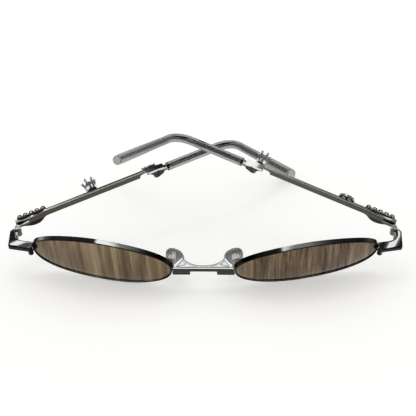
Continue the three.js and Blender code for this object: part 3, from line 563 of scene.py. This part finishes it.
def carve_bridge(points, normals):
    """Cuts the groove along the rear edge, the hollows of the wings and the ridges across the feet."""
    x, y, z = abs(points[:, 0]), points[:, 1], points[:, 2]
    near = in_facet(x, y, FACET_MARGIN)
    top = (z > BRIDGE_TOP - TOP_BAND) & ((normals[:, 2] > BRIDGE_UP) | near)
    edge_x, edge_y = rear_edge()
    gap = np.hypot(x[:, None] - edge_x, y[:, None] - edge_y).min(axis=1)
    level = np.where(near, BRIDGE_TOP - FACET_DEPTH * in_facet(x, y, 0), z)
    flute = FLUTE_DEPTH * np.exp(-((gap - FLUTE_PLACE) / FLUTE_WIDTH) ** 2)
    points[:, 2] = np.where(top, level - flute, z)
    foot = (z < FOOT_TOP) & (normals[:, 1] < FOOT_BACK)
    ridge = 0.5 - 0.5 * np.cos(2 * math.pi * (z - FOOT_TOP) / RIDGE_PITCH)
    points[:, 1] += np.where(foot, RIDGE_DEPTH * (1 - ridge), 0)


def carve_end_piece(points, normals):
    """Gives the top one shallow wave, as hand polishing leaves it."""
    along, crest, rise, length = END_WAVES["left" if points[0, 0] < 0 else "right"]
    run = (points[:, :2] - crest) @ np.array(along)
    wave = rise * np.cos(2 * math.pi * run / length)
    points[:, 2] += np.where(normals[:, 2] > END_UP, wave - rise, 0)


def cast_piece(node, voxel, carve):
    """Skins a node's shape anew with soft edges, and carves it in the front's own axes."""
    piece = stand_in(node, welded_copy(node))
    skin = piece.modifiers.new("skin", "REMESH")
    skin.mode = "VOXEL"
    skin.voxel_size = voxel * MM
    soften = piece.modifiers.new("soften", "SMOOTH")
    soften.factor = SOFT_SHARE
    soften.iterations = SOFT_ROUNDS
    mesh = apply_modifiers(piece)
    count = len(mesh.vertices)
    place, normal = np.empty(count * 3, np.float32), np.empty(count * 3, np.float32)
    mesh.vertices.foreach_get("co", place)
    mesh.vertices.foreach_get("normal", normal)
    back = np.array(ROOT.inverted())
    points = (place.reshape(-1, 3) @ back[:3, :3].T + back[:3, 3]) / MM
    carve(points, normal.reshape(-1, 3) @ back[:3, :3].T)
    forth = np.array(ROOT)
    mesh.vertices.foreach_set("co", (points * MM @ forth[:3, :3].T + forth[:3, 3]).ravel())
    mesh.polygons.foreach_set("use_smooth", [True] * len(mesh.polygons))
    mesh.update()
    return mesh, back


def make_bridge():
    mesh, back = cast_piece("bridge", BRIDGE_VOXEL, carve_bridge)
    mesh.materials.append(SILVER)
    centre = np.empty(len(mesh.polygons) * 3, np.float32)
    mesh.polygons.foreach_get("center", centre)
    middle = (centre.reshape(-1, 3) @ back[:3, :3].T + back[:3, 3]) / MM
    hollow = (middle[:, 2] > BRIDGE_TOP - HOLLOW_BAND) & in_facet(abs(middle[:, 0]), middle[:, 1], 0)
    mesh.polygons.foreach_set("material_index", hollow.astype(int))


# Lofted pieces
def loft(runs, name):
    """A mesh of closed skins, each through rings of equal count with a fan at each end."""
    work = bmesh.new()
    for rings in runs:
        loops = [[work.verts.new(p) for p in ring] for ring in rings]
        for one, other in zip(loops, loops[1:]):
            for i in range(len(one)):
                after = (i + 1) % len(one)
                work.faces.new((one[i], one[after], other[after], other[i]))
        for loop in (loops[0], loops[-1]):
            middle = work.verts.new(sum((v.co for v in loop), Vector()) / len(loop))
            for i in range(len(loop)):
                work.faces.new((loop[i], loop[(i + 1) % len(loop)], middle))
    bmesh.ops.recalc_face_normals(work, faces=work.faces)
    return write_mesh(work, name)


# Temple tip, in the temple's own axes (millimetres). The wire and its paddle are given by half their width.
WIRE_OUT, WIRE_Z = 1.6, 0.7
WIRE_RADIUS, PADDLE_HEIGHT, PADDLE_THICKNESS = 0.62, 0.74, 0.5
SLEEVE_RADIUS, TIP_RADIUS = 1.62, 2.1
BEND_RADIUS, BEND_ANGLE = 13.8, math.radians(51)
TIP_LENGTH, SLEEVE_STRAIGHT, WIRE_MARGIN = 40.7, 20.7, 5.6
REACH_PAST_MIDDLE = 13.8
BORE_GAP = 0.1
WIRE_SHOWN = 0.22
SLEEVE_LIP = 0.18
WIRE_SIDES, SLEEVE_SIDES = 24, 32

# Places of the rings that round off the wire's end, as shares of its radius
ROUNDING = (0.5, 0.8, 0.95)

# The hinge pin's distance from the middle of the front, and the places along the tip's centre line
PIN_OUT = (ROOT.inverted() @ Vector(joint_named("right_temple_fold")["pos_m"])).x / MM
BEND_START = PIN_OUT + REACH_PAST_MIDDLE
BEND_RUN = BEND_RADIUS * BEND_ANGLE
BEND_END = BEND_START + BEND_RUN
TIP_RUN = BEND_END + TIP_LENGTH
SLEEVE_START = BEND_START - SLEEVE_STRAIGHT


def tip_place(run):
    """The point on the tip's centre line and the angle that it has bent down by."""
    if run <= BEND_START:
        return run, WIRE_Z, 0
    bent = min(run - BEND_START, BEND_RUN) / BEND_RADIUS
    beyond = max(0, run - BEND_START - BEND_RUN)
    y = BEND_START + BEND_RADIUS * math.sin(bent) + beyond * math.cos(bent)
    z = WIRE_Z - BEND_RADIUS * (1 - math.cos(bent)) - beyond * math.sin(bent)
    return y, z, bent


def tip_ring(run, across, upright, sides=SLEEVE_SIDES):
    """An oval ring round the tip's centre line, from its half width and half height."""
    y, z, angle = tip_place(run)
    ring = []
    for i in range(sides):
        turn = 2 * math.pi * i / sides
        out = across * math.cos(turn)
        up = upright * math.sin(turn)
        ring.append(Vector((WIRE_OUT + out, y + up * math.sin(angle), z + up * math.cos(angle))))
    return ring


def steps(start, end, count):
    """Evenly spaced values from start to end."""
    return [start + (end - start) * i / count for i in range(count + 1)]


def tip_runs(start, end):
    """Places of the rings from start to end, closest in the bend."""
    return steps(start, BEND_START, 12)[:-1] + steps(BEND_START, BEND_END, 24)[:-1] + steps(BEND_END, end, 20)


def eased(value):
    """Goes from 0 to 1 with a soft start and a soft end."""
    value = min(1, max(0, value))
    return value * value * (3 - 2 * value)


def wire_section(run):
    """The core wire's half width and half height, from round to a flat paddle behind the bend."""
    share = eased((run - BEND_START) / BEND_RUN)
    return (WIRE_RADIUS + (PADDLE_THICKNESS - WIRE_RADIUS) * share,
            WIRE_RADIUS + (PADDLE_HEIGHT - WIRE_RADIUS) * share)


def place_rings(rings, axes):
    """Rings given in millimetres in some axes, set down in the scene."""
    return [[axes @ (p * MM) for p in ring] for ring in rings]


def make_wire(side):
    node = f"{side}_core_wire"
    end = TIP_RUN - WIRE_MARGIN
    runs = tip_runs(SLEEVE_START - WIRE_SHOWN, end)
    rings = [tip_ring(run, *wire_section(run), WIRE_SIDES) for run in runs]
    across, upright = wire_section(end)
    for share in ROUNDING:
        lift = math.sqrt(1 - share * share)
        rings.append(tip_ring(end + WIRE_RADIUS * share, across * lift, upright * lift, WIRE_SIDES))
    stand_in(node, loft([place_rings(rings, TEMPLE[side])], node))


def make_sleeve(side):
    """A clear sleeve as one closed skin, from the bore's blind end round the lip to the domed tip."""
    node = f"{side}_tip_sleeve"
    dome = TIP_RUN - TIP_RADIUS
    bore_end = TIP_RUN - WIRE_MARGIN + WIRE_RADIUS + BORE_GAP

    def outer(run):
        return SLEEVE_RADIUS + (TIP_RADIUS - SLEEVE_RADIUS) * eased((run - BEND_END) / (dome - BEND_END))

    def bore(run):
        across, upright = wire_section(run)
        return across + BORE_GAP, upright + BORE_GAP

    inside = [tip_ring(run, *bore(run)) for run in tip_runs(SLEEVE_START, bore_end)]
    lip = outer(SLEEVE_START) - SLEEVE_LIP
    outside = [tip_ring(SLEEVE_START, lip, lip)]
    outside += [tip_ring(run, outer(run), outer(run)) for run in tip_runs(SLEEVE_START + SLEEVE_LIP, dome)]
    for turn in range(10, 90, 10):
        radius = TIP_RADIUS * math.cos(math.radians(turn))
        outside.append(tip_ring(dome + TIP_RADIUS * math.sin(math.radians(turn)), radius, radius))
    stand_in(node, loft([place_rings(inside[::-1] + outside, TEMPLE[side])], node))


# Scroll curls along the top of each plaque, in the temple's own axes (millimetres and degrees)
CURL_COUNT, CURL_RADIUS, CURL_TUBE, CURL_KNOB, CURL_RISE = 5, 0.62, 0.19, 0.12, -0.05
CURL_FROM, CURL_TO = -150, 110
CURL_RINGS, CURL_SIDES = 16, 10


def curl_rings(middle, start, end):
    """A bent rod that swells to a knob at its free end."""
    around = [2 * math.pi * i / CURL_SIDES for i in range(CURL_SIDES)]
    rings = []
    for i in range(CURL_RINGS + 1):
        share = i / CURL_RINGS
        turn = start + (end - start) * share
        out = Vector((0, math.cos(turn), math.sin(turn)))
        thick = CURL_TUBE + CURL_KNOB * share ** 4
        rings.append([
            middle + out * (CURL_RADIUS + thick * math.cos(angle)) + Vector((thick * math.sin(angle), 0, 0))
            for angle in around])
    return rings


def make_curls(side):
    plaque = f"{side}_scroll_plaque"
    back = TEMPLE[side].inverted()
    points = [back @ v.co / MM for v in frame["nodes"][plaque].data.vertices]
    low, high = (Vector([pick(p[i] for p in points) for i in range(3)]) for pick in (min, max))
    pitch = (high.y - low.y) / CURL_COUNT
    runs = []
    for i in range(CURL_COUNT):
        middle = Vector(((low.x + high.x) / 2, low.y + pitch * (i + 0.5), high.z + CURL_RISE))
        flip = 1 if i % 2 else -1
        start, end = (math.radians(90 + flip * angle) for angle in (CURL_FROM, CURL_TO))
        runs.append(place_rings(curl_rings(middle, start, end), TEMPLE[side]))
    name = f"{side}_scroll_curls"
    # The curls take the dark chrome, with its painted dark reflection
    add_piece(name, loft(runs, name), DARK, body_of(plaque))


# A nose pad: its rounded edge, and how far past its box its metal core shows (millimetres and degrees)
PAD_EDGE, PAD_ANGLE, CORE_MARGIN = 0.3, 20, 0.15


def make_pad(side):
    """A pad with rounded edges, and its metal core where the box holds it."""
    node = f"{side}_nose_pad"
    piece = stand_in(node, welded_copy(node))
    round_edges(piece, PAD_EDGE, segments=4, angle=PAD_ANGLE)
    keep_flats(piece)
    piece.data.materials.append(SATIN)
    low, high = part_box(f"{side}_pad_box")
    margin = CORE_MARGIN * MM
    for polygon in piece.data.polygons:
        held = all(low[i] - margin < polygon.center[i] < high[i] + margin for i in range(3))
        polygon.material_index = int(held)


finish_metal()
finish_glass()
make_bridge()
for side in SIDES:
    cast_piece(f"{side}_end_piece", END_VOXEL, carve_end_piece)
for side in SIDES:
    make_wire(side)
    make_sleeve(side)
    make_curls(side)
    make_pad(side)

# Stage

# The floor, in metres: half its width, how far it lies below the object, its colour and its own glow
FLOOR_HALF, FLOOR_DROP = 3, 0.0003
FLOOR_COLOUR = (0.82, 0.815, 0.8, 1)
FLOOR_GLOW = 0.33

# The panels of light overhead. Each lies within soft edges. An edge is a measure of the direction looked in
# and the two values of it where the panel is dark and where it is lit.
PANELS = {
    "wedge": (("x", -0.22, -0.17), ("x", 0.16, 0.02), ("y_plus_half_x", 0.215, 0.17),
              ("y_minus_half_x", 0.05, 0.1), ("z", 0.5, 0.6)),
    "glow": (("x", -0.3, 0), ("x", 0.5, 0), ("y", 0.34, 0.16), ("y", -0.1, 0.08), ("z", 0.5, 0.6)),
    "strip": (("x", -0.6, -0.5), ("x", 0.6, 0.5), ("y", -0.2, -0.26), ("y", -0.46, -0.4), ("z", 0.5, 0.6)),
    "sides": (("width", 0.46, 0.52), ("width", 0.84, 0.78), ("y", -0.42, -0.48), ("y", -0.72, -0.66),
              ("z", 0.4, 0.44), ("z", 0.66, 0.6)),
}
GLOW_SHARE = 0.2

# How bright the sky behind the panels looks at each height of the direction, from 0, level, to 1, overhead
SKY = ((0, 1), (0.3, 0.9), (0.42, 0.12), (0.56, 0.015))
SKY_LIGHT = 0.8
WHITE = (1, 1, 1)


def shown_share(nodes):
    """One where the camera, a reflection or a clear piece looks at the background, and zero for its light."""
    path = nodes.add("ShaderNodeLightPath")
    rays = ("Is Camera Ray", "Is Glossy Ray", "Is Transmission Ray")
    return nodes.combine("MAXIMUM", *(path.outputs[ray] for ray in rays))


def make_floor():
    data = bpy.data.meshes.new("floor")
    corners = [(x * FLOOR_HALF, y * FLOOR_HALF, 0) for x, y in ((-1, -1), (1, -1), (1, 1), (-1, 1))]
    data.from_pydata(corners, [], [(0, 1, 2, 3)])
    floor = bpy.data.objects.new("floor", data)
    bpy.context.scene.collection.objects.link(floor)
    floor.location.z = -FLOOR_DROP
    material = bpy.data.materials.new("pale_floor")
    material.use_nodes = True
    nodes = Nodes(material.node_tree)
    out = nodes.add("ShaderNodeOutputMaterial")
    matt = nodes.add("ShaderNodeBsdfDiffuse", {"Color": FLOOR_COLOUR})
    glow = nodes.add("ShaderNodeEmission", {"Color": (*WHITE, 1)})
    nodes.link(nodes.combine("MULTIPLY", shown_share(nodes), FLOOR_GLOW), glow.inputs["Strength"])
    both = nodes.add("ShaderNodeAddShader")
    nodes.link(matt.outputs["BSDF"], both.inputs[0])
    nodes.link(glow.outputs["Emission"], both.inputs[1])
    nodes.link(both.outputs["Shader"], out.inputs["Surface"])
    data.materials.append(material)


def ceiling_light(nodes, x, y, z):
    """How bright the panels are: a soft wedge with a faint glow round it, a strip above the camera and one at
    each side."""
    half = nodes.combine("MULTIPLY", x, 0.5)
    measures = {
        "x": x, "y": y, "z": z, "width": nodes.combine("ABSOLUTE", x, 0),
        "y_plus_half_x": nodes.combine("ADD", y, half), "y_minus_half_x": nodes.combine("SUBTRACT", y, half)}
    light = {}
    for name, edges in PANELS.items():
        shares = [nodes.soft_step(measures[what], dark, lit) for what, dark, lit in edges]
        light[name] = nodes.combine("MULTIPLY", *shares)
    light["glow"] = nodes.combine("MULTIPLY", light["glow"], GLOW_SHARE)
    return nodes.combine("MAXIMUM", *light.values())


def make_world():
    """White all round, as the background is, and a dark studio ceiling with soft panels of light."""
    world = bpy.data.worlds.new("studio")
    bpy.context.scene.world = world
    world.use_nodes = True
    nodes = Nodes(world.node_tree)
    out = nodes.add("ShaderNodeOutputWorld")
    light = nodes.add("ShaderNodeBackground", {"Color": (*WHITE, 1), "Strength": SKY_LIGHT})
    seen = nodes.add("ShaderNodeBackground", {"Strength": 1})
    place = nodes.add("ShaderNodeTexCoord")
    x, y, z = nodes.axes(place.outputs["Generated"])
    sky = nodes.ramp(z, [(height, (grey, grey, grey)) for height, grey in SKY])
    nodes.link(nodes.mix(ceiling_light(nodes, x, y, z), sky, WHITE), seen.inputs["Color"])
    mix = nodes.add("ShaderNodeMixShader")
    nodes.link(shown_share(nodes), mix.inputs["Fac"])
    nodes.link(light.outputs["Background"], mix.inputs[1])
    nodes.link(seen.outputs["Background"], mix.inputs[2])
    nodes.link(mix.outputs["Shader"], out.inputs["Surface"])


def area_lamp(name, place, aim, size, power):
    """A lamp that lights the object and shows neither to the camera nor in reflections."""
    data = bpy.data.lights.new(name, "AREA")
    data.shape = "RECTANGLE"
    data.size, data.size_y = size
    data.energy = power
    lamp = bpy.data.objects.new(name, data)
    bpy.context.scene.collection.objects.link(lamp)
    lamp.location = place
    lamp.rotation_mode = "QUATERNION"
    lamp.rotation_quaternion = (Vector(aim) - Vector(place)).to_track_quat("-Z", "Y")
    lamp.visible_camera = lamp.visible_glossy = False


make_floor()
make_world()
area_lamp("overhead", place=(-0.13, 0.11, 1.0), aim=(0, 0, 0), size=(0.42, 0.2), power=0.5)
bpy.context.scene.view_settings.view_transform = "Standard"
